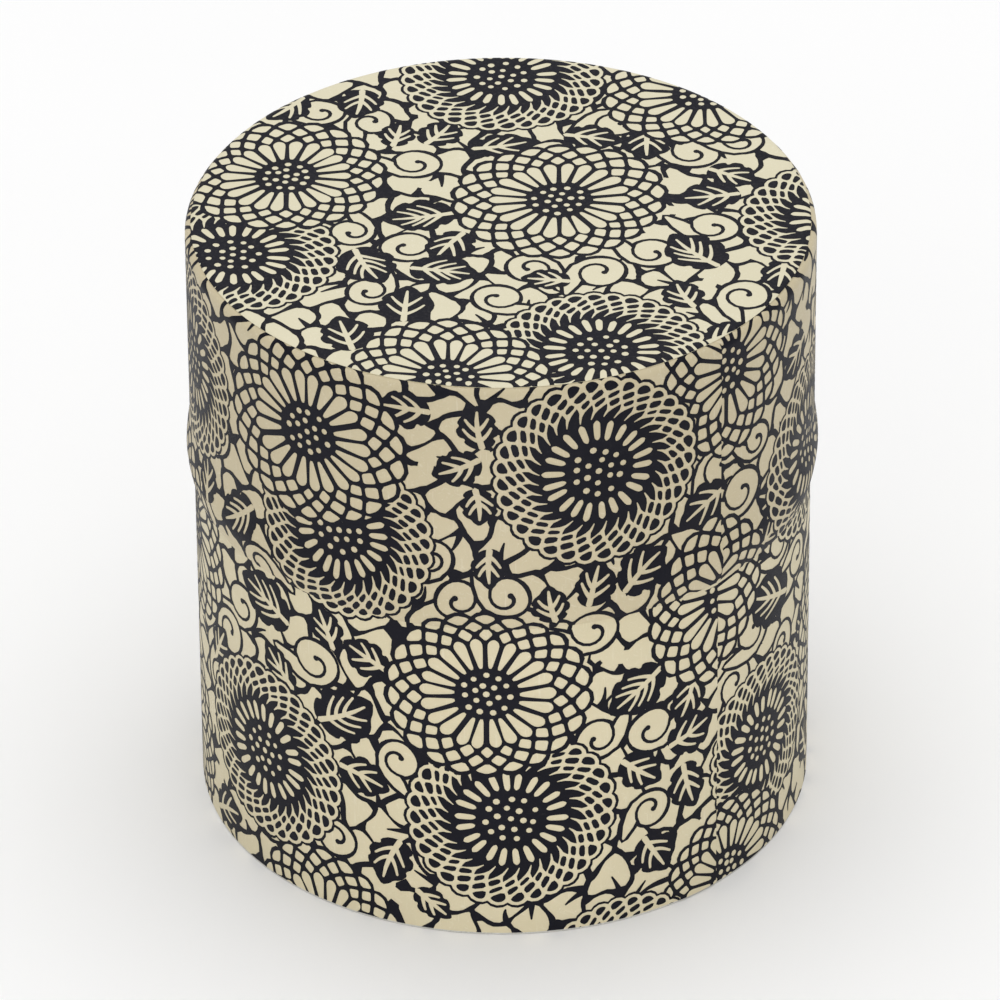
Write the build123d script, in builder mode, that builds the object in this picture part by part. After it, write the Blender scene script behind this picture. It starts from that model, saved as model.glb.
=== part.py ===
"""A paper-covered tinplate tea caddy, in millimetres: +Z up, origin on the floor at the centre of the base.

The body is a rolled tinplate tube with an inset bottom. A plug lid with a riveted knob closes its mouth,
and a drawn tinplate lid slips down over both, as far as the bead at its own mouth. Printed paper covers
the body's outside, the lid's side and the lid's top. The front of the caddy faces -Y.
"""

import os
from math import cos, pi, radians, sin

from build123d import *

os.makedirs("parts", exist_ok=True)

# Sheets
tin = 0.22
pan_tin = 0.2
paper = 0.1

# Overall size
height = 80.0
lid_radius = 38.3  # outside of the lid's side paper, above the bead
rim_round = 1.5  # outside of the side paper at the lid's top corner
slip = 0.18  # radial gap between the lid's tin and the body's tin

# Bead at the lid's mouth, which draws in below its crest until it almost touches the body's paper
mouth_height = 45.6
bead_top = 53.9
bead_crest = 48.8
bead_swell = 0.475
mouth_swell = -0.03

# Paper joint: the sheet's free edge, measured from +X, and the width that lies double
lap_angle = -47.0
lap_width = 5.0

# Body
foot_gap = 0.35  # bare tin below the paper
body_paper_top = 47.5
body_lap_top = 45.2
wall_top = 78.6
recess = 2.85  # floor to the top of the bottom plate
seam_width = 5.0
seam_top = 66.0

# Plug lid
plug_gap = 0.14
plug_depth = 8.2
hem_height = 0.44
step = 0.8
boss_radius = 8.5
ring_radius = 25.0
ring_width = 3.2

# Knob
rivet_radius = 1.2
rivet_head_radius = 2.6
rivet_head_height = 0.7
rivet_grip = 4.0
hole_gap = 0.1
washer_radius = 5.2
washer_height = 0.3
knob_base_radius = 4.2
knob_neck_radius = 2.7
knob_head_radius = 6.4
knob_height = 7.0

# Worked out from these
lid_tin_radius = lid_radius - paper
lid_inner_radius = lid_tin_radius - tin
body_radius = lid_inner_radius - slip
body_paper_radius = body_radius + paper
body_inner_radius = body_radius - tin
round_centre = (lid_radius - rim_round, height - paper - rim_round)
lid_top = height - 2 * paper  # top face of the lid's tin, under the two layers at the rim
plug_radius = body_inner_radius - plug_gap
pan_radius = plug_radius - pan_tin
pan_floor = wall_top - plug_depth
boss_top = pan_floor + step


def swell(z):
    """How far the lid's mouth bead stands out from the straight wall at height z."""
    if z >= bead_top:
        return 0.0
    if z >= bead_crest:
        share = (bead_top - z) / (bead_top - bead_crest)
        return bead_swell * (1 - cos(pi * share)) / 2
    share = (bead_crest - z) / (bead_crest - mouth_height)
    return bead_swell - (bead_swell - mouth_swell) * share**1.6


def bead_line(radius, count=11):
    """The bead's line, from its top to the mouth, on the surface that has this radius above the bead."""
    heights = [bead_top + (mouth_height - bead_top) * i / (count - 1) for i in range(count)]
    return Spline(*[(radius + swell(z), z) for z in heights])


def on_rim(radius, angle):
    """A point on the lid's rounded top corner, angle degrees above the horizontal."""
    r, z = round_centre
    return r + radius * cos(radians(angle)), z + radius * sin(radians(angle))


def rim_arc(radius, start=90.0, end=0.0):
    """The lid's rounded top corner between two angles."""
    return ThreePointArc(on_rim(radius, start), on_rim(radius, (start + end) / 2), on_rim(radius, end))


def lid_section(inner, outer, rim_inner, rim_outer, reach):
    """The outline of a wall that follows the lid from its top corner to its mouth."""
    corner_r, corner_z = round_centre
    Polyline((reach, corner_z + rim_inner), (reach, corner_z + rim_outer), (corner_r, corner_z + rim_outer))
    rim_arc(rim_outer)
    Line((outer, corner_z), (outer, bead_top))
    outside = bead_line(outer)
    inside = bead_line(inner)
    Line(outside @ 1, inside @ 1)
    Line((inner, bead_top), (inner, corner_z))
    rim_arc(rim_inner, 0.0, 90.0)
    Line((corner_r, corner_z + rim_inner), (reach, corner_z + rim_inner))


# --- Body ---------------------------------------------------------------------------------------

# Rolled wall. Its side seam is a flat strip inside, at the back, that stops below the plug lid.
seam_half_angle = seam_width / body_inner_radius * 90 / pi
with BuildPart() as body_wall:
    with BuildSketch():
        Circle(body_radius)
        Circle(body_inner_radius, mode=Mode.SUBTRACT)
    extrude(amount=wall_top)
    with BuildSketch(Plane.XZ.rotated((0, 0, 90 - seam_half_angle))):
        with Locations((body_inner_radius - tin / 2, (seam_top + recess) / 2 + step)):
            Rectangle(tin, seam_top - recess)
    revolve(axis=Axis.Z, revolution_arc=2 * seam_half_angle)
body_wall.part.label = "body_wall"

# Inset bottom: a shallow pan turned over, with a raised ring and a raised centre, that stands on its flange.
bottom_line = [
    (0, recess + step),
    (18, recess + step),
    (18 + step, recess),
    (27, recess),
    (27 + step, recess + step),
    (30, recess + step),
    (30 + step, recess),
    (body_inner_radius, recess),
    (body_inner_radius, 0),
]
with BuildPart() as body_bottom:
    with BuildSketch(Plane.XZ):
        with BuildLine():
            FilletPolyline(*bottom_line, radius=0.5)
            offset(amount=tin, side=Side.RIGHT)
        make_face()
    revolve(axis=Axis.Z)
body_bottom.part.label = "body_bottom"

# Paper sleeve, with its lapped joint at the front right.
lap_span = lap_width / body_radius * 180 / pi
lap_plane = Plane.XZ.rotated((0, 0, lap_angle - lap_span))
with BuildPart() as body_paper:
    with BuildSketch(Plane.XY.offset(foot_gap)):
        Circle(body_paper_radius)
        Circle(body_radius, mode=Mode.SUBTRACT)
    extrude(amount=body_paper_top - foot_gap)
    with BuildSketch(lap_plane):
        with Locations((body_paper_radius + paper / 2, (foot_gap + body_lap_top) / 2)):
            Rectangle(paper, body_lap_top - foot_gap)
    revolve(axis=Axis.Z, revolution_arc=lap_span)
body_paper.part.label = "body_paper"

# --- Outer lid ----------------------------------------------------------------------------------

with BuildPart() as outer_lid_shell:
    with BuildSketch(Plane.XZ):
        with BuildLine():
            lid_section(lid_inner_radius, lid_tin_radius, rim_round - paper - tin, rim_round - paper, 0)
        make_face()
    revolve(axis=Axis.Z)
outer_lid_shell.part.label = "outer_lid_shell"

# Side paper: over the top corner by a narrow margin, down the wall and bead, and cut off at the mouth.
margin_reach = lid_radius - rim_round - 1.2
with BuildPart() as lid_side_paper:
    with BuildSketch(Plane.XZ):
        with BuildLine():
            lid_section(lid_tin_radius, lid_radius, rim_round - paper, rim_round, margin_reach)
        make_face()
    revolve(axis=Axis.Z)
    with BuildSketch(lap_plane):
        with BuildLine():
            under = bead_line(lid_radius)
            over = bead_line(lid_radius + paper)
            Line(under @ 1, over @ 1)
            Polyline(under @ 0, (lid_radius, round_centre[1]), (lid_radius + paper, round_centre[1]), over @ 0)
        make_face()
    revolve(axis=Axis.Z, revolution_arc=lap_span)
lid_side_paper.part.label = "lid_side_paper"

# Top paper: flat on the tin, up over the side paper's margin, and a little way down the rounded corner.
ramp = 0.8
edge_angle = 60.0
under_margin = margin_reach - 0.1
with BuildPart() as lid_top_paper:
    with BuildSketch(Plane.XZ):
        with BuildLine():
            Polyline(
                (0, lid_top),
                (0, lid_top + paper),
                (under_margin - ramp, lid_top + paper),
                (under_margin, height),
                (round_centre[0], height),
            )
            rim_arc(rim_round + paper, 90.0, edge_angle)
            Line(on_rim(rim_round + paper, edge_angle), on_rim(rim_round, edge_angle))
            rim_arc(rim_round, edge_angle, 90.0)
            Polyline(
                (round_centre[0], height - paper),
                (under_margin, height - paper),
                (under_margin - ramp, lid_top),
                (0, lid_top),
            )
        make_face()
    revolve(axis=Axis.Z)
lid_top_paper.part.label = "lid_top_paper"

# --- Plug lid -----------------------------------------------------------------------------------

# Pan: a raised centre for the knob, a stiffening ring, a straight plug wall and a doubled edge on the mouth.
pan_line = [
    (rivet_radius + hole_gap, boss_top),
    (boss_radius, boss_top),
    (boss_radius + step, pan_floor),
    (ring_radius, pan_floor),
    (ring_radius + step, boss_top),
    (ring_radius + ring_width, boss_top),
    (ring_radius + ring_width + step, pan_floor),
    (pan_radius, pan_floor),
    (pan_radius, wall_top + hem_height / 2),
]
with BuildPart() as inner_lid_pan:
    with BuildSketch(Plane.XZ):
        with BuildLine():
            FilletPolyline(*pan_line, radius=[0.4, 0.4, 0.4, 0.4, 0.4, 0.4, 1.0])
            offset(amount=pan_tin, side=Side.RIGHT)
        make_face()
        with Locations(((pan_radius + body_radius) / 2, wall_top + hem_height / 2)):
            SlotOverall(body_radius - pan_radius, hem_height)
    revolve(axis=Axis.Z)
inner_lid_pan.part.label = "inner_lid_pan"

with BuildPart() as knob_washer:
    with BuildSketch(Plane.XY.offset(boss_top)):
        Circle(washer_radius)
        Circle(rivet_radius + hole_gap, mode=Mode.SUBTRACT)
    extrude(amount=washer_height)
    fillet(knob_washer.edges().filter_by(GeomType.CIRCLE).group_by(Axis.Z)[-1].sort_by(SortBy.RADIUS)[-1], 0.12)
knob_washer.part.label = "knob_washer"

# Knob: a turned mushroom with a waisted stem and a shallow crown.
knob_base = boss_top + washer_height
knob_top = knob_base + knob_height
shoulder = knob_top - 2.2
with BuildPart() as inner_lid_knob:
    with BuildSketch(Plane.XZ):
        with BuildLine():
            Polyline((0, knob_base), (knob_base_radius, knob_base), (knob_base_radius, knob_base + 0.7))
            ThreePointArc(
                (knob_base_radius, knob_base + 0.7),
                (knob_neck_radius, knob_base + 2.3),
                (knob_head_radius - 0.9, shoulder - 0.6),
            )
            ThreePointArc(
                (knob_head_radius - 0.9, shoulder - 0.6),
                (knob_head_radius, shoulder),
                (knob_head_radius - 0.7, shoulder + 0.9),
            )
            TangentArc((0, knob_top), (knob_head_radius - 0.7, shoulder + 0.9), tangent=(1, 0))
            Line((0, knob_top), (0, knob_base))
        make_face()
    revolve(axis=Axis.Z)
    with Locations((0, 0, knob_base + rivet_grip / 2)):
        Cylinder(rivet_radius, rivet_grip, mode=Mode.SUBTRACT)
inner_lid_knob.part.label = "inner_lid_knob"

# Rivet: its head lies under the pan and its shank fills the knob's blind hole.
head_top = boss_top - pan_tin
with BuildPart() as knob_rivet:
    with BuildSketch(Plane.XY.offset(head_top)):
        Circle(rivet_radius)
    extrude(amount=knob_base + rivet_grip - head_top)
    with BuildSketch(Plane.XZ):
        with BuildLine():
            Polyline((0, head_top - rivet_head_height), (0, head_top), (rivet_head_radius, head_top))
            TangentArc((0, head_top - rivet_head_height), (rivet_head_radius, head_top), tangent=(1, 0))
        make_face()
    revolve(axis=Axis.Z)
knob_rivet.part.label = "knob_rivet"

for piece in (
    body_wall,
    body_bottom,
    body_paper,
    outer_lid_shell,
    lid_side_paper,
    lid_top_paper,
    inner_lid_pan,
    knob_washer,
    inner_lid_knob,
    knob_rivet,
):
    export_step(piece.part, f"parts/{piece.part.label}.step")
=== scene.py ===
"""Looks of the paper-covered tea caddy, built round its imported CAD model.

The print is drawn flat, in millimetres, as closed outlines of ink and of bare paper in painting order.
One triangulation cuts them into a single layer of ink, which is then wrapped on the caddy just above
its paper. On the side sheet u runs round from the front (-Y) towards the right (+X) and v runs up.
"""

import random
from math import atan2, ceil, cos, hypot, pi, radians, sin

import bpy
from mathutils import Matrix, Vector
from mathutils.geometry import delaunay_2d_cdt


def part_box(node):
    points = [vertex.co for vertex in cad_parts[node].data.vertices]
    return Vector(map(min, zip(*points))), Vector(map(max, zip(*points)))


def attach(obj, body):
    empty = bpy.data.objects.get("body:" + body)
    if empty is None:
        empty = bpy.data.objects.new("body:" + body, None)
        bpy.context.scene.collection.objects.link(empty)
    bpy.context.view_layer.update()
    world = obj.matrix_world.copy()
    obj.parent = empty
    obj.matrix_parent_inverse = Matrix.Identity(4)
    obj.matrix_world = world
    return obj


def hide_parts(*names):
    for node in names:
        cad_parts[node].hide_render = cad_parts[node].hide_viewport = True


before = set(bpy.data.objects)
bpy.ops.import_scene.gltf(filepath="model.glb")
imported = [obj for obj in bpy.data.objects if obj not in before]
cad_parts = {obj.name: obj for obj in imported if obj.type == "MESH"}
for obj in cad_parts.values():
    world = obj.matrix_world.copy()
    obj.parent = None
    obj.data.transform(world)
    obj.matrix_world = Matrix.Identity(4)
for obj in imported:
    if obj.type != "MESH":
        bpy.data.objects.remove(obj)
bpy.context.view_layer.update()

MM = 0.001  # metres in a millimetre


def box_mm(node):
    """A node's lowest and highest corners in millimetres."""
    low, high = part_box(node)
    return [c / MM for c in low], [c / MM for c in high]


# --- Sizes in millimetres, as the CAD model has them --------------------------------------------

PAPER = 0.1
RIM_ROUND = 1.5
BEAD_RISE = 5.1  # from the bead's crest up to the straight wall
BEAD_FALL = 3.2  # from the crest down to the mouth
BEAD_SWELL = 0.475
MOUTH_SWELL = -0.03
MARGIN = 1.2  # side paper's turn-over under the top paper
LAP_ANGLE = 43.0  # degrees from the front to the side sheet's free edge
LAP_WIDTH = 5.0
LAP_RAMP = 1.6
LAP_FADE = 0.8  # height over which the lap's edge sinks back
SEAM_GAP = 0.005  # kept between a side sheet's first and last columns
TOP_RAMP = 0.8
TOP_EDGE_ANGLE = 30.0  # how far the top paper goes down the rounded corner, in degrees
INK_LIFT = 0.02
INK_STEP = 1.9  # longest run of ink round the caddy before it bends
SHEET_STEP = 0.7  # the same for the side sheets
FINE_STEP = 0.2  # the same up a rounded corner or a fading lap
TOP_POINTS = 240  # points round the top sheet
TOP_PRINT_POINTS = 180  # the same for its print
CREASE = 40  # degrees between faces from which an edge of a sheet stays sharp
SPILL = 0.2  # most area, in square millimetres, by which a drawn shape may miss its outline's

side_low, side_high = box_mm("lid_side_paper")
sleeve_low, sleeve_high = box_mm("body_paper")

MOUTH = side_low[2]
LID_RADIUS = side_high[0] - BEAD_SWELL
BEAD_CREST = MOUTH + BEAD_FALL
BEAD_TOP = BEAD_CREST + BEAD_RISE
ROUND_R = LID_RADIUS - RIM_ROUND
ROUND_Z = side_high[2] - RIM_ROUND
CORNER = RIM_ROUND * pi / 2
TOP = box_mm("lid_top_paper")[1][2]
RAMP_END = ROUND_R - MARGIN - 0.1
TOP_REACH = ROUND_R + (RIM_ROUND + PAPER) * radians(TOP_EDGE_ANGLE)
SLEEVE_RADIUS = sleeve_high[0]
SHEET = 2 * pi * LID_RADIUS
LAP = radians(LAP_ANGLE) * LID_RADIUS

# --- Flat drawing -------------------------------------------------------------------------------


class Artwork:
    """Closed outlines in painting order, each either ink or bare paper, on a sheet of ink."""

    def __init__(self):
        self.shapes = []

    def ink(self, points):
        self.shapes.append((points, True))

    def bare(self, points):
        self.shapes.append((points, False))

    def ink_layer(self, outline, cuts):
        """Triangles of what stays ink inside the outline, divided along the cut lines."""
        low_u, low_v = (min(p[i] for p in outline) for i in (0, 1))
        high_u, high_v = (max(p[i] for p in outline) for i in (0, 1))
        points, faces, is_ink = list(outline), [list(range(len(outline)))], [True]
        for shape, dark in self.shapes:
            us, vs = [p[0] for p in shape], [p[1] for p in shape]
            if max(us) < low_u or min(us) > high_u or max(vs) < low_v or min(vs) > high_v:
                continue
            faces.append(list(range(len(points), len(points) + len(shape))))
            points += shape if area(shape) > 0 else shape[::-1]
            is_ink.append(dark)
        edges = []
        for line in cuts:
            edges += [(len(points) + i, len(points) + i + 1) for i in range(len(line) - 1)]
            points += line
        places = [Vector(p) for p in points]
        flat, _, triangles, _, _, sources = delaunay_2d_cdt(places, edges, faces, 1, 1e-5, True)
        spill = [-abs(area([points[i] for i in face])) for face in faces]
        for t, s in zip(triangles, sources):
            size = abs(area([flat[i] for i in t]))
            for shape in s:
                spill[shape] += size
        # An outline that crosses itself can flood the sheet, and is left out
        sound = [size < SPILL for size in spill]
        print("outlines left out", sound.count(False), "of", len(sound))
        kept = [t for t, s in zip(triangles, sources) if 0 in s and is_ink[max(i for i in s if sound[i])]]
        used = sorted({i for t in kept for i in t})
        index = {old: new for new, old in enumerate(used)}
        return [tuple(flat[i]) for i in used], [[index[i] for i in t] for t in kept]


def area(shape):
    """A closed outline's area, negative when it runs clockwise."""
    return sum(a * d - b * c for (a, b), (c, d) in zip(shape, shape[1:] + shape[:1])) / 2


def circle(x, y, radius, count, turn=0.0):
    """A round outline of count points."""
    steps = [turn + 2 * pi * i / count for i in range(count)]
    return [(x + radius * cos(a), y + radius * sin(a)) for a in steps]


def placed(points, x, y, turn, scale=1.0):
    """Points turned, scaled and moved."""
    c, s = cos(turn) * scale, sin(turn) * scale
    return [(x + c * p - s * q, y + s * p + c * q) for p, q in points]


def rounded(points, rounds=1, share=0.25):
    """A closed outline with its corners cut rounds times."""
    for _ in range(rounds):
        cut = []
        for (a, b), (c, d) in zip(points, points[1:] + points[:1]):
            cut.append((a + (c - a) * share, b + (d - b) * share))
            cut.append((c + (a - c) * share, d + (b - d) * share))
        points = cut
    return points


def bent(start, over, end, count=7):
    """Points on the curve from start to end that leans towards over."""
    steps = [i / (count - 1) for i in range(count)]
    return [
        tuple((1 - t) ** 2 * a + 2 * t * (1 - t) * b + t * t * c for a, b, c in zip(start, over, end))
        for t in steps
    ]


def stroke(line, widths):
    """The outline of a brush stroke along a line, with a width for each of its points."""
    left, right = [], []
    last = len(line) - 1
    for i, (x, y) in enumerate(line):
        (ax, ay), (bx, by) = line[max(i - 1, 0)], line[min(i + 1, last)]
        length = hypot(bx - ax, by - ay)
        nx, ny = (ay - by) / length * widths[i] / 2, (bx - ax) / length * widths[i] / 2
        if i == 0:
            left.append((x - ny * 0.9, y + nx * 0.9))
        left.append((x + nx, y + ny))
        right.append((x - nx, y - ny))
        if i == last:
            left.append((x + ny * 0.9, y - nx * 0.9))
    return left + right[::-1]


def tapered(line, wide, narrow):
    """A stroke that thins from its start to its end."""
    count = len(line) - 1
    return stroke(line, [wide + (narrow - wide) * i / count for i in range(count + 1)])


# --- Motifs -------------------------------------------------------------------------------------

FLOWER_SIZE = 13.6  # radius that the flowers' own measures are for
LINE = 0.52  # width of the ink lines
THREAD = 0.4  # width of the pale lines in a dark flower


def inset(shape, gap):
    """A closed outline drawn in by a gap."""
    shape = shape if area(shape) > 0 else shape[::-1]
    sides = []
    for (a, b), (c, d) in zip(shape, shape[1:] + shape[:1]):
        length = hypot(c - a, d - b)
        sides.append(((b - d) / length, (c - a) / length))
    drawn = []
    for (x, y), (m, n), (p, q) in zip(shape, sides[-1:] + sides[:-1], sides):
        reach = gap / max(1 + m * p + n * q, 0.35)
        drawn.append((x + (m + p) * reach, y + (n + q) * reach))
    kept = []
    for (a, b), (c, d), (p, q) in zip(drawn, drawn[1:] + drawn[:1], sides):
        if (c - a) * q - (d - b) * p > 0.04:
            kept.append((a, b))
    return kept


def unround(rng, much):
    """A gently lobed factor for a radius, by direction."""
    a, b = rng.uniform(0, 2 * pi), rng.uniform(0, 2 * pi)
    return lambda angle: 1 + much * (0.6 * sin(2 * angle + a) + 0.4 * sin(3 * angle + b))


def polar(x, y, scale, shape):
    """Makes points at a radius and an angle about a flower's centre."""

    def at(radius, angle):
        reach = radius * scale * shape(angle)
        return x + reach * cos(angle), y + reach * sin(angle)

    return at


def knots(rng, at, levels, step, count, lag=0.0):
    """The crossings of a flower's net: knot(level, place). Each level lags by a share of a place."""
    places = {}

    def knot(level, place):
        key = (level, place % count)
        if key not in places:
            radius = levels[level] + rng.uniform(-0.13, 0.13)
            places[key] = at(radius, step * (key[1] - lag * (level + 1)) + rng.uniform(-0.018, 0.018))
        return places[key]

    return knot


def seed_head(art, at, rng, first, second):
    """Dots in the eye of a flower: one, a ring of six and a ring of eleven."""
    for ring, count in ((0.0, 1), (first, 6), (second, 11)):
        turn = rng.uniform(0, 1)
        for i in range(count):
            radius = ring * rng.uniform(0.9, 1.06) + 0.01
            x, y = at(radius, turn + (i + rng.uniform(-0.12, 0.12)) * 2 * pi / count)
            art.bare(circle(x, y, rng.uniform(0.37, 0.45), 8, turn))


PETALS = 22
OPEN_NET = (8.0, 9.4, 10.85, 12.3)  # radii of the net's crossings about the petals
# Lines along the net's edge, as places from the middle of a scale and radii
OPEN_RIM = ((-1, 12.75), (-0.6, 13.35), (0, 13.6), (0.6, 13.35))
OPEN_CROWN = ((0.72, 12.9), (0, 13.3), (-0.72, 12.9))
PETAL_INNER, PETAL_OUTER, PETAL_WIDE = 3.95, 8.72, 1.66
OPEN_SEEDS = (1.5, 2.95)  # radii of the two rings of dots
# One side of a petal, as shares of its length and of its width
PETAL_SIDE = (
    (0, 0.2), (0.08, 0.38), (0.4, 0.68), (0.7, 0.95), (0.82, 1), (0.91, 0.84), (0.97, 0.5), (1, 0.14),
)


def petal(at, angle, inner, outer, wide):
    """A long petal with a narrow inner end and a round outer one."""
    sides = []
    for side in (-1, 1):
        radii = [(inner + (outer - inner) * t, w) for t, w in PETAL_SIDE]
        sides.append([at(r, angle + side * wide * w / (2 * r)) for r, w in radii])
    return sides[0] + sides[1][::-1]


def open_flower(art, x, y, size, seed):
    """A chrysanthemum with long petals, in a net of three rows of scales."""
    rng = random.Random(seed)
    at = polar(x, y, size / FLOWER_SIZE, unround(rng, 0.045))
    half = pi / PETALS
    knot = knots(rng, at, OPEN_NET, half, 2 * PETALS)
    rim = []
    for i in range(1, 2 * PETALS, 2):
        rim += [at(r, half * (i + t)) for t, r in OPEN_RIM]
    art.ink(rim)
    for row in (1, 2):
        for i in range(row % 2, 2 * PETALS, 2):
            scale = [knot(row - 1, i), knot(row, i + 1), knot(row + 1, i), knot(row, i - 1)]
            art.bare(rounded(inset(scale, LINE / 2), 2, 0.14))
    for i in range(1, 2 * PETALS, 2):
        crown = [at(r + rng.uniform(-0.1, 0.1), half * (i + t)) for t, r in OPEN_CROWN]
        art.bare(rounded(inset([knot(2, i), knot(3, i + 1), *crown, knot(3, i - 1)], LINE / 2), 1, 0.2))
    for i in range(PETALS):
        angle = half * 2 * i + rng.uniform(-0.02, 0.02)
        outer = PETAL_OUTER + rng.uniform(-0.2, 0.1)
        inner = PETAL_INNER + rng.uniform(0, 0.35)
        art.bare(petal(at, angle, inner, outer, PETAL_WIDE * rng.uniform(0.93, 1.06)))
    seed_head(art, at, rng, *OPEN_SEEDS)


SWIRLS = 32
BARS = 22  # short petals
BAR_INNER, BAR_OUTER = 4.5, 6.9
BAR_SHAPE = ((0, 0.5), (0.12, 0.74), (0.5, 0.84), (0.88, 0.86), (1, 0.6))  # place along a bar, and width
DARK_SEEDS = (1.65, 3.1)
SWIRL_NET = (12.2, 11.0, 9.9, 8.9)  # radii of the net's crossings
SWIRL_LAG = 0.2  # places by which each level of the net falls back
SWIRL_EDGE = 0.4  # width of the ink line round the net
# Lines along the net and its hooks, as places from a crossing and radii
SWIRL_RIM = ((0.0, 12.8), (0.2, 13.15), (0.5, 13.32), (0.8, 13.15))
SWIRL_CROWN = ((0.8, 12.87), (0.5, 13.09), (0.2, 12.87))
HOOK_BASE, HOOK_REACH = 8.7, 1.2  # radius below which a hook's length varies, and its span
HOOK = (
    (0.05, 9.68), (0.3, 9.34), (0.62, 8.88), (0.9, 8.4), (1.24, 7.6),
    (1.3, 7.68), (1.14, 8.35), (1.0, 8.85), (1.01, 9.4),
)


def dark_flower(art, x, y, size, seed):
    """A dark chrysanthemum with short petals, in a swirling net that ends in hooks."""
    rng = random.Random(seed)
    at = polar(x, y, size / FLOWER_SIZE, unround(rng, 0.03))
    step = 2 * pi / SWIRLS
    knot = knots(rng, at, SWIRL_NET, step, SWIRLS, SWIRL_LAG)
    for edge, paint in ((SWIRL_EDGE, art.ink), (0.0, art.bare)):
        paint([at(r + edge, step * (i - SWIRL_LAG + t)) for i in range(SWIRLS) for t, r in SWIRL_RIM])
    for i in range(SWIRLS):
        crown = [at(r, step * (i - SWIRL_LAG + t)) for t, r in SWIRL_CROWN]
        art.ink(rounded(inset([knot(0, i), knot(1, i + 1), knot(0, i + 1), *crown], THREAD / 2), 1, 0.25))
        for row in (0, 1):
            hole = [knot(row, i), knot(row + 1, i), knot(row + 2, i + 1), knot(row + 1, i + 1)]
            art.ink(rounded(inset(hole, THREAD / 2), 1, 0.22))
    hooks = []
    for i in range(SWIRLS):
        push = rng.uniform(-0.3, 0.3)
        sway = rng.uniform(-0.08, 0.08)
        for place, radius in HOOK:
            share = max(0.0, (HOOK_BASE - radius) / HOOK_REACH)
            turned = i - 3 * SWIRL_LAG + place + sway * share
            hooks.append(at(radius + push * share, step * turned))
    art.ink(hooks)
    turn = rng.uniform(0, 1)
    for i in range(BARS):
        angle = turn + 2 * pi * i / BARS + rng.uniform(-0.03, 0.03)
        inner = BAR_INNER + rng.uniform(0, 0.3)
        outer = BAR_OUTER + rng.uniform(-0.2, 0.25)
        line = [at(inner + (outer - inner) * t, angle) for t, _ in BAR_SHAPE]
        art.bare(rounded(stroke(line, [wide for _, wide in BAR_SHAPE]), 1, 0.25))
    seed_head(art, at, rng, *DARK_SEEDS)


# One side of a leaf, from stalk to tip, in lengths of the leaf
LEAF_SIDE = (
    (0.0, 0.05), (0.05, 0.19), (0.17, 0.31), (0.25, 0.26), (0.3, 0.38), (0.45, 0.42), (0.55, 0.33),
    (0.62, 0.38), (0.75, 0.3), (0.82, 0.18), (0.9, 0.13), (1.0, 0.0),
)
MIDRIB = ((0.04, 0.8), (0.25, 0.72), (0.45, 0.62), (0.65, 0.52), (0.84, 0.3))  # place along it, and width
VEIN = (0.62, 0.32)  # width at the midrib and at the tip
VEIN_START, VEIN_SPREAD = 0.2, 0.42  # where the first pair starts, and the length that all pairs share
VEIN_REACH, VEIN_LOSS = 0.27, 0.05  # how far the first pair reaches, and how much less each next pair does
LONG_LEAF = 8.5  # length from which a leaf has three pairs of veins


def leaf(art, rng, x, y, length, degrees):
    """A lobed leaf, centred on a place, with pale veins that spread towards its tip."""
    bow = rng.uniform(-0.25, 0.25)
    full = (rng.uniform(0.85, 1.1), rng.uniform(0.85, 1.1))

    def at(p, q):
        return placed([((p - 0.5) * length, (q + bow * (p * p - p)) * length)], x, y, radians(degrees))[0]

    left = [at(p, q * full[0]) for p, q in LEAF_SIDE]
    right = [at(p, -q * full[1]) for p, q in LEAF_SIDE[-2:0:-1]]
    art.ink(rounded(left + right, 1, 0.22))
    art.bare(stroke([at(p, 0) for p, _ in MIDRIB], [wide for _, wide in MIDRIB]))
    pairs = 2 if length < LONG_LEAF else 3
    for i in range(pairs):
        root = VEIN_START + VEIN_SPREAD * i / pairs
        for side, much in zip((1, -1), full):
            span = side * (VEIN_REACH - VEIN_LOSS * i) * much
            flare = rng.uniform(0.03, 0.13)
            line = bent((root, 0.01), (root + flare, span * 0.55), (root + VEIN_REACH, span), 6)
            art.bare(tapered([at(p, q) for p, q in line], *VEIN))


# A curl's tail, as distance, direction in degrees and width, in radii of the curl
CURL_TAIL = (
    (0.62, 290, 0.72), (0.78, 262, 0.78), (1.02, 232, 0.74), (1.5, 208, 0.6), (2.15, 196, 0.14),
)
SPIRAL_START = 192  # degrees
SPIRAL_DEPTH = 0.8  # how far in the spiral goes, in radii of the curl
SPIRAL_LINE = 0.42  # width of its line at the outside
SPIRAL_DOT = 0.4  # radius of the dot at its end


def scroll(art, rng, x, y, radius, degrees, hand):
    """A pale curl with one dark spiral line in it, and a tail that leads away."""

    def at(r, a):
        return placed([(r * cos(a), hand * r * sin(a))], x, y, radians(degrees), radius)[0]

    tail = [at(r, radians(a)) for r, a, _ in CURL_TAIL]
    round_about = [2 * pi * i / 24 for i in range(24)]
    grow = LINE / radius
    art.ink([at(1.0 + grow, a) for a in round_about])
    art.ink(stroke(tail, [(wide + 2 * grow) * radius for _, _, wide in CURL_TAIL]))
    art.bare([at(1.0 + 0.04 * sin(3 * a), a) for a in round_about])
    art.bare(stroke(tail, [wide * radius for _, _, wide in CURL_TAIL]))
    turns = [i / 12 for i in range(13)]
    sweep = radians(rng.uniform(250, 285))
    line = [at(1.02 - SPIRAL_DEPTH * t ** 0.75, radians(SPIRAL_START) + sweep * t) for t in turns]
    art.ink(stroke(line, [SPIRAL_LINE + 0.2 * t ** 3 for t in turns]))
    art.ink(circle(*line[-1], SPIRAL_DOT, 8))


# --- Background cells ---------------------------------------------------------------------------

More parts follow.
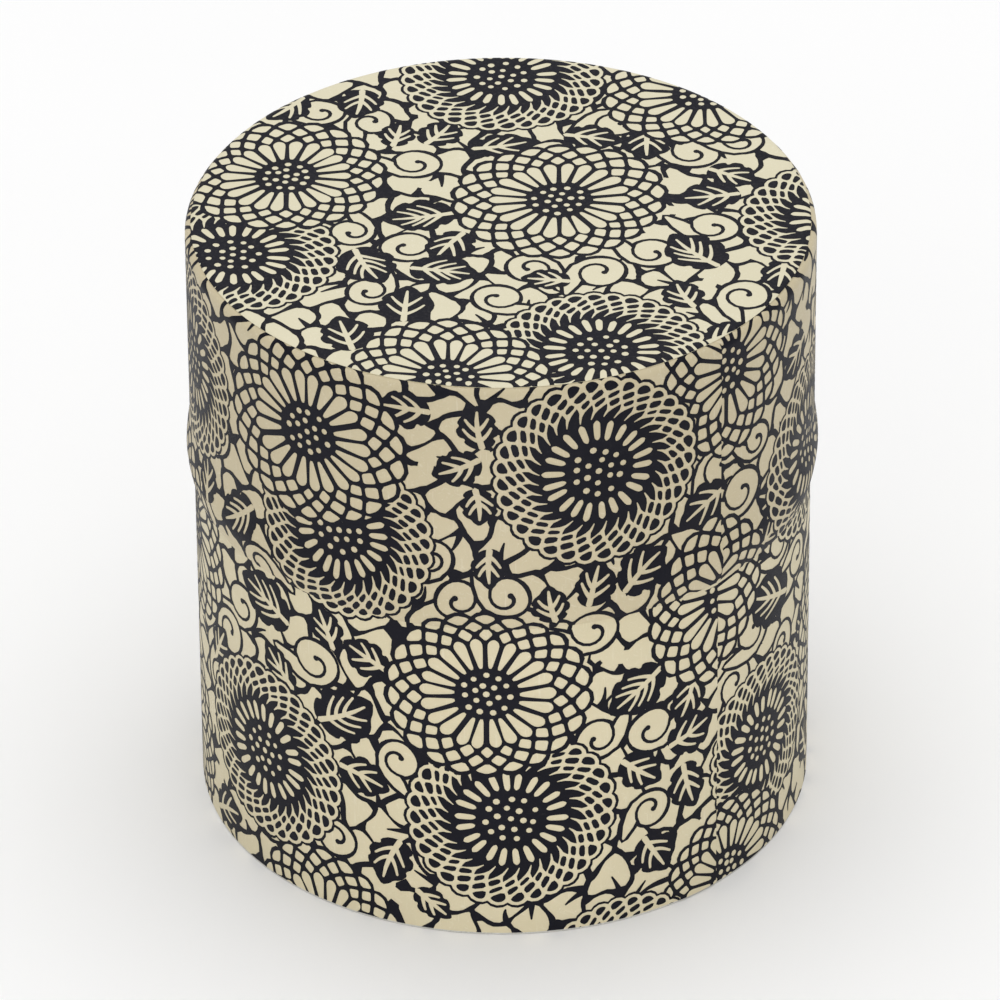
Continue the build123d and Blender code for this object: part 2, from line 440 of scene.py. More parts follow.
CELL = 3.7  # least distance between the cells' centres
CELL_LINE = 0.66  # width of the ink between cells
CELL_BIN = 9.0  # side of the squares in which neighbours are looked up
JOINED = 0.14  # share of the cells that run into a neighbour
BRIDGE = 1.9  # width of the join
THORNED = 0.3  # share of the others that a thorn of ink grows into
THORN = (0.9, 0.24)  # width at its root and at its tip
THORN_REACH = 0.85  # how far it goes from the cell's edge towards its centre
HIDDEN = 2.5  # how far inside a flower's edge a cell's centre may be before the cell is left out
WAVE = 0.5  # how far the cells' sides wander
CELL_RUN = 0.8  # longest straight run of a cell's side


def scattered(rng, low, high, spacing):
    """Random places that keep their distance."""
    grid = {}
    size = spacing / 2 ** 0.5
    tries = int((high[0] - low[0]) * (high[1] - low[1]) / spacing ** 2 * 14)
    for _ in range(tries):
        p = (rng.uniform(low[0], high[0]), rng.uniform(low[1], high[1]))
        i, j = int(p[0] // size), int(p[1] // size)
        near = [grid.get((i + a, j + b)) for a in range(-2, 3) for b in range(-2, 3)]
        if all(q is None or hypot(p[0] - q[0], p[1] - q[1]) >= spacing for q in near):
            grid[i, j] = p
    return sorted(grid.values())


def cell_about(centre, others, gap):
    """The outline of the space nearer to a centre than to the others, drawn in by a gap."""
    cx, cy = centre
    shape = [(cx - 9, cy - 9), (cx + 9, cy - 9), (cx + 9, cy + 9), (cx - 9, cy + 9)]
    for ox, oy in others:
        dx, dy = ox - cx, oy - cy
        away = hypot(dx, dy)
        dx, dy, limit = dx / away, dy / away, away / 2 - gap
        depth = [(p - cx) * dx + (q - cy) * dy - limit for p, q in shape]
        cut = []
        for k, (a, b) in enumerate(zip(shape, shape[1:] + shape[:1])):
            da, db = depth[k], depth[(k + 1) % len(shape)]
            if da <= 0:
                cut.append(a)
            if (da < 0) != (db < 0) and da != db:
                t = da / (da - db)
                cut.append((a[0] + (b[0] - a[0]) * t, a[1] + (b[1] - a[1]) * t))
        shape = cut
        if len(shape) < 3:
            return []
    return shape


def pebbles(art, low, high, flowers, seed):
    """Pale cells of every size over the whole sheet, left out where a flower hides them."""
    rng = random.Random(seed)
    centres = scattered(rng, low, high, CELL)
    bins = {}
    for p in centres:
        bins.setdefault((int(p[0] // CELL_BIN), int(p[1] // CELL_BIN)), []).append(p)
    for p in centres:
        if any(hypot(p[0] - x, p[1] - y) < size - HIDDEN for _, x, y, size in flowers):
            continue
        i, j = int(p[0] // CELL_BIN), int(p[1] // CELL_BIN)
        near = [q for a in (-1, 0, 1) for b in (-1, 0, 1) for q in bins.get((i + a, j + b), []) if q != p]
        near.sort(key=lambda q: hypot(q[0] - p[0], q[1] - p[1]))
        shape = cell_about(p, near, CELL_LINE / 2)
        if len(shape) < 3:
            continue
        art.bare([waved(q) for q in divided(rounded(shape, 1, 0.22), CELL_RUN)])
        if near and rng.random() < JOINED:
            art.bare(stroke([waved(p), waved(near[0])], [BRIDGE, BRIDGE]))
        elif rng.random() < THORNED:
            root, side = waved(shape[0]), rng.uniform(-0.5, 0.5)
            reach = [root[k] + (p[k] - root[k]) * THORN_REACH for k in (0, 1)]
            over = ((root[0] + reach[0]) / 2 + side, (root[1] + reach[1]) / 2 - side)
            art.ink(tapered(bent(root, over, reach, 5), *THORN))


def divided(shape, most):
    """A closed outline with its sides divided into runs no longer than most."""
    points = []
    for (a, b), (c, d) in zip(shape, shape[1:] + shape[:1]):
        count = ceil(hypot(c - a, d - b) / most)
        points += [(a + (c - a) * i / count, b + (d - b) * i / count) for i in range(count)]
    return points


def waved(point):
    """A point moved a little, so that the cells' sides are not straight."""
    u, v = point
    return u + WAVE * sin(v * 1.05 + 0.3 * u), v + WAVE * sin(u * 1.15 - 0.3 * v)


def draw(art, low, high, flowers, leaves, scrolls, seed):
    """Paints cells, curls, leaves and flowers, in that order."""
    pebbles(art, low, high, flowers, seed)
    rng = random.Random(seed)
    for item in scrolls:
        scroll(art, rng, *item)
    for item in leaves:
        leaf(art, rng, *item)
    for i, (form, x, y, size) in enumerate(flowers):
        form(art, x, y, size, seed * 100 + i)


# --- Layout, in millimetres -----------------------------------------------------------------------

# Flowers as form, u, v and radius; leaves as u, v, length and direction; curls as u, v, radius, direction and
# hand. On the side sheet the LEFT lists are left of the lap and the RIGHT lists are right of it.
LEFT_FLOWERS = (
    (dark_flower, -20.6, 56.6, 12.6),
    (open_flower, -25.0, 69.1, 13.4),
    (open_flower, 32.0, 75.5, 12.4),
    (dark_flower, 11.6, 67.2, 13.3),
    (open_flower, 30.2, 43.4, 12.6),
    (dark_flower, 0.7, 17.5, 13.3),
    (open_flower, -2.2, 35.9, 12.9),
    (dark_flower, 39.6, 17.0, 12.3),
    (open_flower, 31.0, 0.5, 11.2),
    (open_flower, -24.0, -4.0, 12.0),
    (dark_flower, -34.0, 18.1, 12.9),
    (dark_flower, 14.7, -8.3, 12.0),
    (dark_flower, -51.5, 66.0, 12.6),
    (open_flower, -55.5, 40.0, 12.8),
    (open_flower, -60.0, 8.0, 12.8),
)
RIGHT_FLOWERS = (
    (open_flower, 29.6, 75.5, 12.4),
    (open_flower, 24.6, 44.0, 12.6),
    (dark_flower, 37.8, 17.2, 12.1),
    (open_flower, 31.0, 1.2, 11.4),
    (dark_flower, 50.5, 53.5, 12.9),
    (open_flower, 62.5, 24.0, 13.2),
)
BACK_SHIFT = 96.0  # the back repeats what is left of the lap
BACK_START, BACK_END = 62.0, LAP + 0.42 * SHEET + 50.0
FRONT_START = SHEET - 66.0
SIDE_SEED, TOP_SEED = 7, 3
TOP_SPAN = 42  # the top's print is drawn this far each way, past the disc's edge

LEFT_LEAVES = (
    (-5.6, 68.7, 6.6, 205), (-2.6, 74.6, 6.4, 95), (-3.1, 63.2, 5.4, 275), (-1.6, 54.4, 5.9, 270),
    (5.8, 49.2, 5.6, 100), (11.0, 51.4, 6.6, 75), (17.6, 51.6, 7.8, 38), (-37.9, 51.4, 8.6, 218),
    (-33.5, 40.8, 9.9, 160), (-23.2, 41.4, 6.6, 112), (-17.5, 38.9, 6.9, 155), (-20.6, 29.8, 9.7, 33),
    (-30.9, 32.4, 7.1, 135), (-18.0, 20.8, 7.5, 345), (-14.4, 9.2, 7.8, 250), (16.6, 33.8, 9.0, 215),
    (23.7, 30.2, 7.4, 250), (24.6, 25.2, 7.4, 20), (17.4, 21.8, 7.3, 320), (24.3, 17.2, 7.5, 285),
    (19.4, 8.8, 7.1, 300), (-44.5, 28.0, 7.1, 60), (-46.0, 52.0, 7.1, 100), (-43.0, 3.5, 7.7, 20),
    (26.0, 57.5, 8.2, 203), (-12.0, 76.2, 7.1, 180), (-9.0, 4.0, 5.9, 320),
)
RIGHT_LEAVES = (
    (39.3, 37.7, 10.8, 157), (50.0, 27.0, 7.2, 100), (38.4, 53.4, 6.8, 160), (38.6, 48.2, 6.2, 30),
    (54.0, 34.0, 7.3, 60), (45.0, 69.0, 7.5, 200), (52.5, 8.0, 7.5, 120), (66.0, 42.0, 7.3, 10),
    (66.0, 70.0, 7.5, 60), (72.0, 8.0, 7.1, 250),
)
LEFT_SCROLLS = (
    (-43.0, 60.4, 3.2, 0, 1), (-33.5, 46.3, 2.6, 145, 1), (-38.0, 37.4, 2.8, 5, 1),
    (-24.7, 35.5, 3.1, 345, 1), (-41.6, 31.8, 2.9, 82, -1), (11.0, 44.0, 2.9, 335, 1),
    (11.5, 27.9, 2.6, 240, -1), (18.6, 27.4, 2.9, 212, -1), (-13.4, 24.8, 2.5, 120, -1),
    (-5.4, 49.8, 2.5, 240, -1), (0.4, 50.4, 2.5, 300, 1), (18.6, 15.9, 2.4, 60, -1),
    (28.2, 62.8, 2.8, 72, -1), (-22.0, 10.5, 2.5, 20, -1), (-8.6, 55.4, 2.4, 20, 1),
    (-46.0, 22.0, 2.6, 250, 1),
)
RIGHT_SCROLLS = (
    (32.5, 56.6, 3.1, 335, 1), (35.4, 62.6, 2.2, 330, 1), (31.8, 28.8, 2.8, 66, -1),
    (35.8, 34.5, 2.9, 8, 1), (43.0, 28.6, 2.6, 100, -1), (42.0, 43.8, 2.5, 350, 1), (48.0, 38.5, 2.6, 10, -1),
    (57.0, 68.5, 2.7, 150, 1), (61.0, 44.5, 2.6, 280, -1), (50.5, 17.5, 2.5, 70, 1), (56.0, 6.0, 2.6, 220, 1),
)

TOP_FLOWERS = (
    (dark_flower, 0.2, 32.9, 13.0),
    (dark_flower, -32.3, -8.0, 13.0),
    (open_flower, -26.1, 9.8, 12.6),
    (open_flower, 7.1, 3.9, 13.3),
    (dark_flower, 42.0, -0.5, 13.2),
    (open_flower, 25.2, 28.2, 12.4),
    (dark_flower, 11.8, -29.9, 13.0),
    (open_flower, -6.4, -35.5, 12.7),
)
TOP_LEAVES = (
    (-17.5, 26.6, 7.0, 262), (-12.7, 19.5, 6.0, 80), (-7.5, 19.8, 6.6, 58), (0.4, 16.9, 8.2, 14),
    (11.4, 18.1, 7.6, 345), (18.1, 16.6, 7.4, 268), (22.2, 19.1, 5.6, 268), (-10.0, 0.4, 9.2, 190),
    (-6.3, -6.6, 7.8, 240), (-15.9, -10.7, 8.8, 294), (-6.8, -12.1, 8.8, 348), (-11.4, -19.2, 8.2, 86),
    (-18.6, -25.6, 8.0, 104), (5.3, -14.1, 6.2, 172), (22.0, -17.4, 6.6, 110), (23.4, -7.7, 9.6, 128),
    (25.2, 4.6, 8.2, 188), (28.4, 9.2, 7.0, 330), (33.6, -13.6, 7.5, 260), (26.8, -26.2, 7.1, 40),
    (-26.5, 25.6, 7.1, 230),
)
TOP_SCROLLS = (
    (14.4, 22.0, 2.9, 40, -1), (23.6, 14.4, 3.0, 308, 1), (29.6, 17.0, 2.4, 340, 1),
    (-10.3, 12.4, 2.8, 325, 1), (-17.9, -3.2, 2.5, 292, -1), (-11.4, -6.6, 2.9, 212, -1),
    (-0.6, -18.2, 2.7, 172, -1),
    (3.6, -11.4, 2.8, 108, 1), (11.8, -12.3, 3.0, 67, -1), (18.2, -8.4, 2.8, 305, 1),
    (25.7, -2.7, 2.9, 320, 1), (29.0, -17.9, 2.9, 100, -1), (-22.0, 24.6, 2.6, 330, 1),
    (-15.9, 22.5, 2.5, 92, -1), (-15.8, -16.6, 2.5, 262, -1),
)


def shifted(items, shift, column=0):
    """The same items moved along u."""
    return [item[:column] + (item[column] + shift,) + item[column + 1:] for item in items]


def side_artwork():
    """The side sheet's print, from its start at the lap once round to its free edge."""
    art = Artwork()
    back = SHEET - BACK_SHIFT
    groups = []
    for left, right, column in (
        (LEFT_FLOWERS, RIGHT_FLOWERS, 1),
        (LEFT_LEAVES, RIGHT_LEAVES, 0),
        (LEFT_SCROLLS, RIGHT_SCROLLS, 0),
    ):
        behind = [i for i in shifted(left, back, column) if BACK_START < i[column] < BACK_END]
        front = [i for i in shifted(left, SHEET, column) if i[column] > FRONT_START]
        groups.append(behind + list(right) + front)
    draw(art, (LAP - 6, -4.0), (LAP + SHEET + 6, 86.0), *groups, SIDE_SEED)
    return art


# --- Wrapping -----------------------------------------------------------------------------------


def swell(z):
    """How far the bead stands out at height z, and its slope."""
    if z >= BEAD_TOP:
        return 0.0, 0.0
    if z >= BEAD_CREST:
        share = (BEAD_TOP - z) / BEAD_RISE
        return BEAD_SWELL * (1 - cos(pi * share)) / 2, -BEAD_SWELL * pi / BEAD_RISE * sin(pi * share) / 2
    share = (BEAD_CREST - z) / BEAD_FALL
    drop = BEAD_SWELL - MOUTH_SWELL
    return BEAD_SWELL - drop * share ** 1.6, 1.6 * drop * share ** 0.6 / BEAD_FALL


def on_lid(v):
    """Radius, height and outward direction on the side paper's outside, where v starts as the height."""
    if v < ROUND_Z:
        out, slope = swell(v)
        size = hypot(1, slope)
        return LID_RADIUS + out, v, 1 / size, -slope / size
    if v < ROUND_Z + CORNER:
        a = (v - ROUND_Z) / RIM_ROUND
        return ROUND_R + RIM_ROUND * cos(a), ROUND_Z + RIM_ROUND * sin(a), cos(a), sin(a)
    return ROUND_R - (v - ROUND_Z - CORNER), ROUND_Z + RIM_ROUND, 0.0, 1.0


def on_sleeve(v):
    """The same on the body's paper, where v is the height."""
    return SLEEVE_RADIUS, v, 1.0, 0.0


def on_top(v):
    """The same on the top paper, where v is the distance from its centre."""
    if v < RAMP_END - TOP_RAMP:
        return v, TOP - PAPER, 0.0, 1.0
    if v < RAMP_END:
        return v, TOP - PAPER * (RAMP_END - v) / TOP_RAMP, 0.0, 1.0
    if v < ROUND_R:
        return v, TOP, 0.0, 1.0
    reach = RIM_ROUND + PAPER
    a = pi / 2 - (v - ROUND_R) / reach
    return ROUND_R + reach * cos(a), TOP - reach * (1 - sin(a)), cos(a), sin(a)


def eased(value, start, end):
    """A smooth step from 0 at start to 1 at end."""
    t = min(max((value - start) / (end - start), 0.0), 1.0)
    return t * t * (3 - 2 * t)


def wrap_side(surface, lap_end, lift):
    """Places a flat point on a side surface, whose lap ends at a height, and gives its outward direction."""
    lap_start = LAP + SHEET - LAP_WIDTH

    def wrap(point):
        u, v = point
        r, z, nr, nz = surface(v)
        lap = PAPER * eased(u, lap_start - LAP_RAMP, lap_start) * eased(z, lap_end, lap_end - LAP_FADE)
        a = u / LID_RADIUS - pi / 2
        r, z = r + (lift + lap) * nr, z + (lift + lap) * nz
        return (r * cos(a), r * sin(a), z), (nr * cos(a), nr * sin(a), nz)

    return wrap


def wrap_top(lift):
    """Places a flat point on the top paper and gives its outward direction."""

    def wrap(point):
        u, v = point
        away, a = hypot(u, v), atan2(v, u)
        r, z, nr, nz = on_top(away)
        r, z = r + lift * nr, z + lift * nz
        return (r * cos(a), r * sin(a), z), (nr * cos(a), nr * sin(a), nz)

    return wrap


def steps(start, end, most):
    """Evenly spaced values from start to end, no further apart than most."""
    count = max(1, ceil(abs(end - start) / most))
    return [start + (end - start) * i / count for i in range(count + 1)]


def add_piece(name, points, faces, material, body, normals=None, crease=None):
    """A mesh from points in millimetres that rides on a body."""
    mesh = bpy.data.meshes.new(name)
    mesh.from_pydata([[c * MM for c in p] for p in points], [], faces)
    mesh.materials.append(material)
    mesh.shade_smooth()
    if crease is not None:
        mesh.set_sharp_from_angle(angle=radians(crease))
    if normals is not None:
        mesh.normals_split_custom_set_from_vertices(normals)
    mesh.update()
    piece = bpy.data.objects.new(name, mesh)
    bpy.context.scene.collection.objects.link(piece)
    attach(piece, body)
    return piece


def add_ink(name, art, outline, cuts, wrap, material, body):
    """Wraps the ink of a flat print on its surface."""
    flat, triangles = art.ink_layer(outline, cuts)
    wrapped = [wrap(p) for p in flat]
    points, normals = [w[0] for w in wrapped], [w[1] for w in wrapped]
    print(name, len(points), "points", len(triangles), "triangles")
    return add_piece(name, points, triangles, material, body, normals)


def rectangle(low, high):
    """A closed outline between two corners."""
    return [(low[0], low[1]), (high[0], low[1]), (high[0], high[1]), (low[0], high[1])]


def side_cuts(low, high, levels):
    """Lines up the sheet and round it, along which the ink may bend."""
    lap_start = high[0] - LAP_WIDTH
    columns = steps(low[0], lap_start - LAP_RAMP, INK_STEP)[1:]
    columns += steps(lap_start - LAP_RAMP, lap_start, 0.4)[1:]
    columns += steps(lap_start, high[0], INK_STEP)[1:-1]
    upright = [[(u, low[1] - 1), (u, high[1] + 1)] for u in columns]
    return upright + [[(low[0] - 1, v), (high[0] + 1, v)] for v in levels]


# --- Paper --------------------------------------------------------------------------------------


def side_paper(surface, lap_end, levels):
    """Points and faces of a side sheet: columns through its outside and its inside, joined at the lap."""
    outer, inner = wrap_side(surface, lap_end, 0.0), wrap_side(surface, lap_end, -PAPER)
    columns = steps(LAP, LAP + SHEET - SEAM_GAP, SHEET_STEP)
    points, faces = [], []
    for u in columns:
        points += [inner((u, v))[0] for v in levels]
        points += [outer((u, v))[0] for v in reversed(levels)]
    size, total = 2 * len(levels), len(points)
    for start in range(0, total, size):
        after = (start + size) % total
        for k in range(size):
            other = (k + 1) % size
            faces.append((start + k, start + other, after + other, after + k))
    return points, faces


def top_paper():
    """Points and faces of the round top sheet, with one point at the middle of each side."""
    rings = steps(2.0, RAMP_END - TOP_RAMP, 2.0) + steps(RAMP_END, ROUND_R, 0.4)
    rings += steps(ROUND_R, TOP_REACH, 0.1)[1:]
    count = TOP_POINTS
    points, faces = [], []
    for lift, flip in ((0.0, False), (-PAPER, True)):
        wrap = wrap_top(lift)
        start = len(points)
        points.append(wrap((0.0, 0.0))[0])
        for r in rings:
            points += [wrap(p)[0] for p in circle(0, 0, r, count)]
        for k in range(count):
            after = (k + 1) % count
            sides = [(start, start + 1 + k, start + 1 + after)]
            for j in range(len(rings) - 1):
                a, b = start + 1 + j * count, start + 1 + (j + 1) * count
                sides.append((a + k, b + k, b + after, a + after))
            faces += [s[::-1] if flip else s for s in sides]
    under = len(points) - count
    edge = under - 1 - len(rings) * count
    for k in range(count):
        after = (k + 1) % count
        faces.append((edge + k, under + k, under + after, edge + after))
    return points, faces


# --- Materials ----------------------------------------------------------------------------------


class Nodes:
    """Short calls for building one material's node tree."""

    def __init__(self, name):
        self.material = bpy.data.materials.new(name)
        self.material.use_nodes = True
        self.tree = self.material.node_tree
        self.shader = self.tree.nodes["Principled BSDF"]
        self.place = self.add("ShaderNodeTexCoord").outputs["Object"]

    def add(self, kind, **settings):
        node = self.tree.nodes.new(kind)
        for key, value in settings.items():
            setattr(node, key, value)
        return node

    def link(self, source, target):
        self.tree.links.new(source, target)

    def stretched(self, scale, turn=(0.0, 0.0, 0.0)):
        """Coordinates turned, then scaled by direction."""
        node = self.add("ShaderNodeMapping", vector_type="TEXTURE")
        node.inputs["Scale"].default_value = [1 / c for c in scale]
        node.inputs["Rotation"].default_value = turn
        self.link(self.place, node.inputs["Vector"])
        return node.outputs["Vector"]

    def noise(self, scale, detail=3.0, rough=0.55, place=None):
        node = self.add("ShaderNodeTexNoise")
        node.inputs["Scale"].default_value = scale
        node.inputs["Detail"].default_value = detail
        node.inputs["Roughness"].default_value = rough
        self.link(place or self.place, node.inputs["Vector"])
        return node.outputs["Fac"]

    def levels(self, value, low, high, to_low=0.0, to_high=1.0):
        """A value moved from one range to another, and kept in it."""
        node = self.add("ShaderNodeMapRange")
        node.inputs["From Min"].default_value = low
        node.inputs["From Max"].default_value = high
        node.inputs["To Min"].default_value = to_low
        node.inputs["To Max"].default_value = to_high
        self.link(value, node.inputs["Value"])
        return node.outputs["Result"]

    def mix(self, share, first, second):
        """Two colours mixed, each given as a colour or a socket."""
        node = self.add("ShaderNodeMix", data_type="RGBA")
        for socket, value in ((node.inputs[0], share), (node.inputs[6], first), (node.inputs[7], second)):
            if isinstance(value, (tuple, float)):
                socket.default_value = (*value, 1.0) if isinstance(value, tuple) else value
            else:
                self.link(value, socket)
        return node.outputs[2]

    def math(self, operation, first, second):
        node = self.add("ShaderNodeMath", operation=operation)
        for socket, value in zip(node.inputs, (first, second)):
            if isinstance(value, float):
                socket.default_value = value
            else:
                self.link(value, socket)
        return node.outputs[0]

    def bump(self, height, distance, strength=1.0, under=None):
        node = self.add("ShaderNodeBump")
        node.inputs["Distance"].default_value = distance
        node.inputs["Strength"].default_value = strength
        self.link(height, node.inputs["Height"])
        if under is not None:
            self.link(under, node.inputs["Normal"])
        return node.outputs["Normal"]

    def finish(self, colour=None, roughness=None, normal=None, **constant):
        for socket, value in (("Base Color", colour), ("Roughness", roughness), ("Normal", normal)):
            if value is not None:
                self.link(value, self.shader.inputs[socket])
        for socket, value in constant.items():
            self.shader.inputs[socket.replace("_", " ")].default_value = value
        return self.material


def fibres(m):
    """Thin crossing fibres of the paper, as a value from 0 to 1."""
    total = None
    for turn in ((0.3, 0.5, 0.2), (1.2, 0.4, 1.7), (0.5, 1.6, 2.6)):
        along = m.stretched((260.0, 3200.0, 3200.0), turn)
        lines = m.levels(m.noise(1.0, 2.0, 0.5, along), 0.62, 0.74)
        total = lines if total is None else m.math("MAXIMUM", total, lines)
    return total


def paper_material(name, cream, shade):
    """Cream paper with fibres, faint clouds and a soft finish."""
    m = Nodes(name)
    clouds = m.levels(m.noise(70.0, 4.0, 0.6), 0.3, 0.7)
    grain = m.noise(5200.0, 3.0, 0.6)
    hair = fibres(m)
    colour = m.mix(clouds, shade, cream)
    colour = m.mix(m.math("MULTIPLY", hair, 0.16), colour, (0.93, 0.90, 0.80))
    rough = m.levels(grain, 0.3, 0.7, 0.42, 0.56)
    normal = m.bump(grain, 0.00002, 0.5)
    normal = m.bump(hair, 0.00003, 0.35, normal)
    return m.finish(colour, rough, normal, Specular_IOR_Level=0.45)


def ink_material():
    """Dark blue ink that lets the paper's grain through, and is rubbed thin at the lid's corner."""
    m = Nodes("print_ink")
    patches = m.levels(m.noise(110.0, 4.0, 0.6), 0.3, 0.72)
    grain = m.noise(5200.0, 3.0, 0.6)
    thin = m.levels(m.noise(1900.0, 2.0, 0.7), 0.58, 0.82, 0.0, 0.35)
    height = m.add("ShaderNodeSeparateXYZ")
    m.link(m.place, height.inputs["Vector"])
    corner = m.levels(height.outputs["Z"], (ROUND_Z + 0.3) * MM, (TOP - PAPER) * MM, 0.0, 0.6)
    rubbed = m.math("MULTIPLY", corner, m.levels(m.noise(2600.0, 3.0, 0.7), 0.5, 0.66))
    thin = m.math("MAXIMUM", thin, rubbed)
    colour = m.mix(patches, (0.004, 0.004, 0.008), (0.007, 0.007, 0.013))
    colour = m.mix(thin, colour, (0.03, 0.028, 0.03))
    rough = m.levels(grain, 0.3, 0.7, 0.40, 0.56)
    normal = m.bump(m.math("MAXIMUM", grain, fibres(m)), 0.00002, 0.5)
    return m.finish(colour, rough, normal, Specular_IOR_Level=0.12)


def tin_material():
    """Rolled tinplate: faint rolling lines, cloudy spangle and small scratches."""
    m = Nodes("tinplate")
    rolled = m.noise(1.0, 3.0, 0.6, m.stretched((9000.0, 9000.0, 160.0)))
    spangle = m.levels(m.noise(420.0, 4.0, 0.65), 0.35, 0.7)
    along = m.stretched((300.0, 6000.0, 900.0), (0.4, 0.9, 0.2))
    scratch = m.levels(m.noise(1.0, 2.0, 0.5, along), 0.68, 0.74)
    colour = m.mix(spangle, (0.66, 0.65, 0.62), (0.74, 0.73, 0.70))
    colour = m.mix(m.math("MULTIPLY", scratch, 0.5), colour, (0.5, 0.49, 0.47))
    rough = m.math("ADD", m.levels(rolled, 0.3, 0.7, 0.2, 0.34), m.math("MULTIPLY", spangle, 0.05))
    normal = m.bump(m.math("SUBTRACT", rolled, m.math("MULTIPLY", scratch, 0.6)), 0.000008, 0.5)
    return m.finish(colour, rough, normal, Metallic=1.0)


def knob_material():
    """Moulded black plastic, a little dulled by handling."""
    m = Nodes("knob_plastic")
    worn = m.levels(m.noise(300.0, 4.0, 0.6), 0.35, 0.75)
    grain = m.noise(6000.0, 2.0, 0.5)
    colour = m.mix(worn, (0.020, 0.018, 0.017), (0.040, 0.037, 0.034))
    rough = m.levels(worn, 0.0, 1.0, 0.2, 0.38)
    return m.finish(colour, rough, m.bump(grain, 0.000008, 0.4))


def rivet_material():
    """Satin aluminium with fine turning marks."""
    m = Nodes("rivet_metal")
    marks = m.noise(1.0, 2.0, 0.5, m.stretched((1500.0, 1500.0, 9000.0)))
    colour = m.mix(m.levels(marks, 0.3, 0.7), (0.72, 0.72, 0.73), (0.84, 0.84, 0.85))
    return m.finish(colour, m.levels(marks, 0.3, 0.7, 0.28, 0.42), m.bump(marks, 0.00001, 0.4), Metallic=1.0)


def floor_material():
    """Plain pale studio floor."""
    m = Nodes("studio_floor")
    soft = m.levels(m.noise(6.0, 3.0, 0.5), 0.3, 0.7)
    return m.finish(m.mix(soft, (0.92, 0.92, 0.92), (0.94, 0.94, 0.94)), m.levels(soft, 0.0, 1.0, 0.6, 0.7))


# --- Caddy --------------------------------------------------------------------------------------

# Painted shade: the lid's side paper is a darker, yellower copy of the body's paper, standing in for the
# dimmer light on the lid's side.
lid_cream_painted_shade = paper_material("paper_lid_painted_shade", (0.59, 0.51, 0.338), (0.56, 0.48, 0.31))
body_cream = paper_material("paper_body", (0.69, 0.613, 0.418), (0.655, 0.578, 0.383))
# Painted light: the top paper is a paler, whiter copy of the body's paper, standing in for the stronger light
# falling on the top.
top_cream_painted_light = paper_material("paper_top_painted_light", (0.69, 0.64, 0.465), (0.655, 0.605, 0.43))
ink = ink_material()
tin = tin_material()

FINISHES = {
    "body_wall": tin,
    "body_bottom": tin,
    "outer_lid_shell": tin,
    "inner_lid_pan": tin,
    "knob_washer": tin,
    "inner_lid_knob": knob_material(),
    "knob_rivet": rivet_material(),
}
for node, finish in FINISHES.items():
    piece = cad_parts[node]
    piece.data.materials.clear()
    piece.data.materials.append(finish)

lid_end = ROUND_Z + RIM_ROUND * radians(90 - TOP_EDGE_ANGLE) + 0.1
lid_lap_end = ROUND_Z + 0.3
sleeve_lap_end = MOUTH - 0.4
bends = steps(MOUTH, BEAD_TOP, SHEET_STEP) + steps(ROUND_Z - LAP_FADE, ROUND_Z, FINE_STEP)
bends += steps(ROUND_Z, ROUND_Z + CORNER, FINE_STEP)[1:]

points, faces = side_paper(on_lid, lid_lap_end, bends + [ROUND_Z + CORNER + MARGIN])
lid_paper = add_piece(
    "lid_side_sheet", points, faces, lid_cream_painted_shade, "outer_lid", crease=CREASE
)
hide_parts("lid_side_paper")

sleeve_levels = steps(sleeve_low[2], sleeve_high[2], 1.0)
points, faces = side_paper(on_sleeve, sleeve_lap_end, sleeve_levels)
sleeve = add_piece("body_sheet", points, faces, body_cream, "body", crease=CREASE)
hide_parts("body_paper")

points, faces = top_paper()
disc = add_piece("lid_top_sheet", points, faces, top_cream_painted_light, "outer_lid", crease=CREASE)
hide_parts("lid_top_paper")

side_art = side_artwork()
low, high = (LAP, MOUTH), (LAP + SHEET, lid_end)
levels = [v for v in bends[1:] if v < lid_end]
add_ink("lid_side_print", side_art, rectangle(low, high), side_cuts(low, high, levels),
        wrap_side(on_lid, lid_lap_end, INK_LIFT), ink, "outer_lid")
low, high = (LAP, sleeve_low[2]), (LAP + SHEET, sleeve_high[2])
levels = steps(sleeve_lap_end - LAP_FADE, sleeve_lap_end, FINE_STEP)
add_ink("body_print", side_art, rectangle(low, high), side_cuts(low, high, levels),
        wrap_side(on_sleeve, sleeve_lap_end, INK_LIFT), ink, "body")

top_art = Artwork()
top_low, top_high = (-TOP_SPAN, -TOP_SPAN), (TOP_SPAN, TOP_SPAN)
draw(top_art, top_low, top_high, TOP_FLOWERS, TOP_LEAVES, TOP_SCROLLS, TOP_SEED)
rings = [RAMP_END - TOP_RAMP, RAMP_END] + steps(ROUND_R, TOP_REACH, FINE_STEP)[:-1]
loops = [circle(0, 0, r, TOP_PRINT_POINTS) for r in rings]
add_ink("lid_top_print", top_art, circle(0, 0, TOP_REACH, TOP_PRINT_POINTS), [c + c[:1] for c in loops],
        wrap_top(INK_LIFT), ink, "outer_lid")

# --- Studio -------------------------------------------------------------------------------------

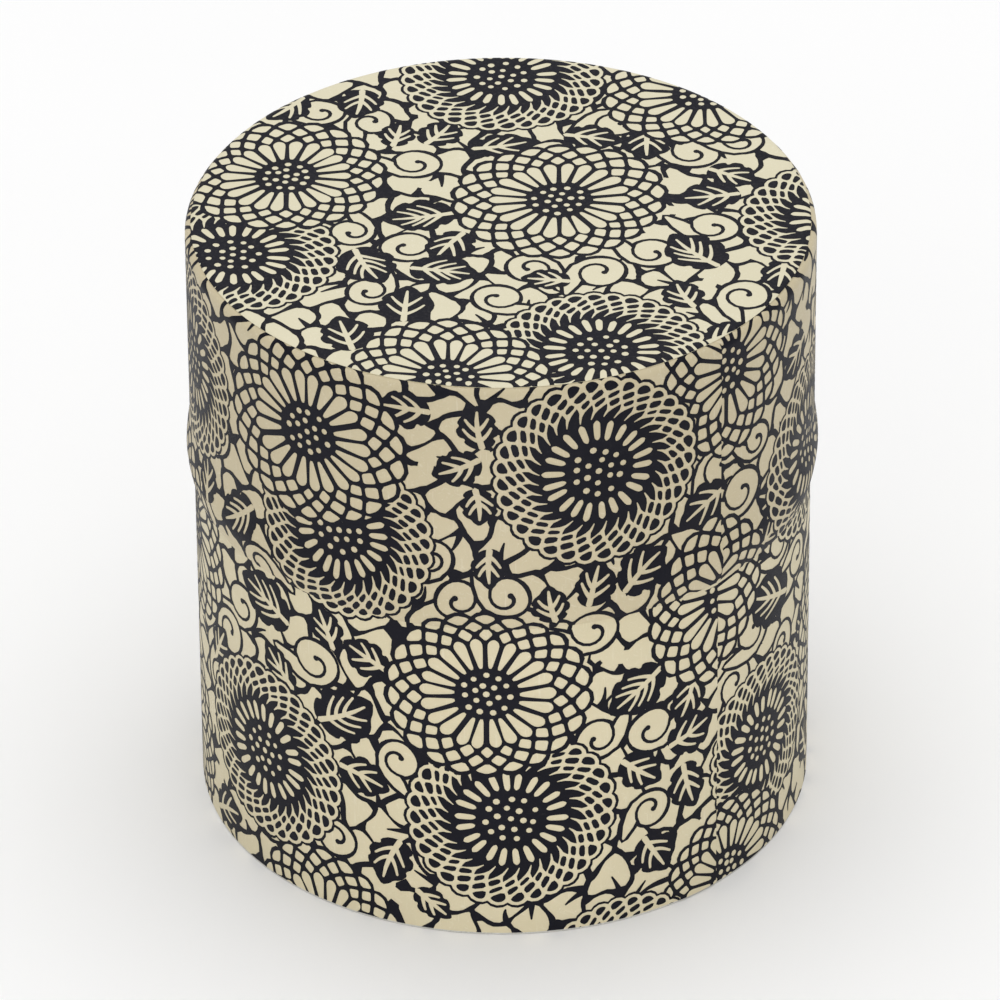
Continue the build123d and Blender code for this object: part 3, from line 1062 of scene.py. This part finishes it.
VIEW_RISE = 33.69  # degrees above the horizontal
VIEW_ROLL = -0.431  # degrees
VIEW_AWAY = 1.187  # metres
LENS = 346.2
SHIFT = (-0.0028, -0.0084)
FLOOR_REACH = 4.0  # metres from the caddy to the floor's edge
SKY = 0.66  # strength of the plain white surroundings
centre_z = TOP * MM / 2


def aimed(obj, place, target, roll=0.0):
    """Puts an object at a place, facing a target."""
    obj.location = place
    turn = (Vector(target) - Vector(place)).to_track_quat("-Z", "Y").to_euler()
    turn.rotate_axis("Z", radians(roll))
    obj.rotation_euler = turn


camera = bpy.data.objects.new("camera", bpy.data.cameras.new("camera"))
camera.data.lens = LENS
camera.data.shift_x, camera.data.shift_y = SHIFT
camera.data.clip_start = 0.05
bpy.context.scene.collection.objects.link(camera)
rise = radians(VIEW_RISE)
aimed(camera, (0, -VIEW_AWAY * cos(rise), centre_z + VIEW_AWAY * sin(rise)), (0, 0, centre_z), VIEW_ROLL)
bpy.context.scene.camera = camera

floor_mesh = bpy.data.meshes.new("studio_floor")
floor_low, floor_high = (-FLOOR_REACH, -FLOOR_REACH), (FLOOR_REACH, FLOOR_REACH)
floor_corners = [(*corner, 0.0) for corner in rectangle(floor_low, floor_high)]
floor_mesh.from_pydata(floor_corners, [], [(0, 1, 2, 3)])
floor_mesh.materials.append(floor_material())
floor = bpy.data.objects.new("studio_floor", floor_mesh)
bpy.context.scene.collection.objects.link(floor)

LIGHTS = (
    # name, place and size in metres, watts
    ("overhead", (0.0, 0.15, 1.1), 1.0, 6.0),
    ("front_left", (-0.4, -1.0, 0.7), 0.7, 1.0),
    ("front_right", (0.9, -1.0, 0.5), 0.9, 0.1),
    ("front_low", (0.0, -0.16, 0.012), 0.06, 0.035),
)
for name, place, size, watts in LIGHTS:
    lamp = bpy.data.lights.new(name, "AREA")
    lamp.shape, lamp.size, lamp.energy = "SQUARE", size, watts
    light = bpy.data.objects.new(name, lamp)
    bpy.context.scene.collection.objects.link(light)
    aimed(light, place, (0, 0, centre_z))

world = bpy.data.worlds.new("studio")
world.use_nodes = True
sky = world.node_tree.nodes["Background"]
sky.inputs["Color"].default_value = (1.0, 1.0, 1.0, 1.0)
sky.inputs["Strength"].default_value = SKY
bpy.context.scene.world = world
bpy.context.scene.view_settings.view_transform = "Standard"
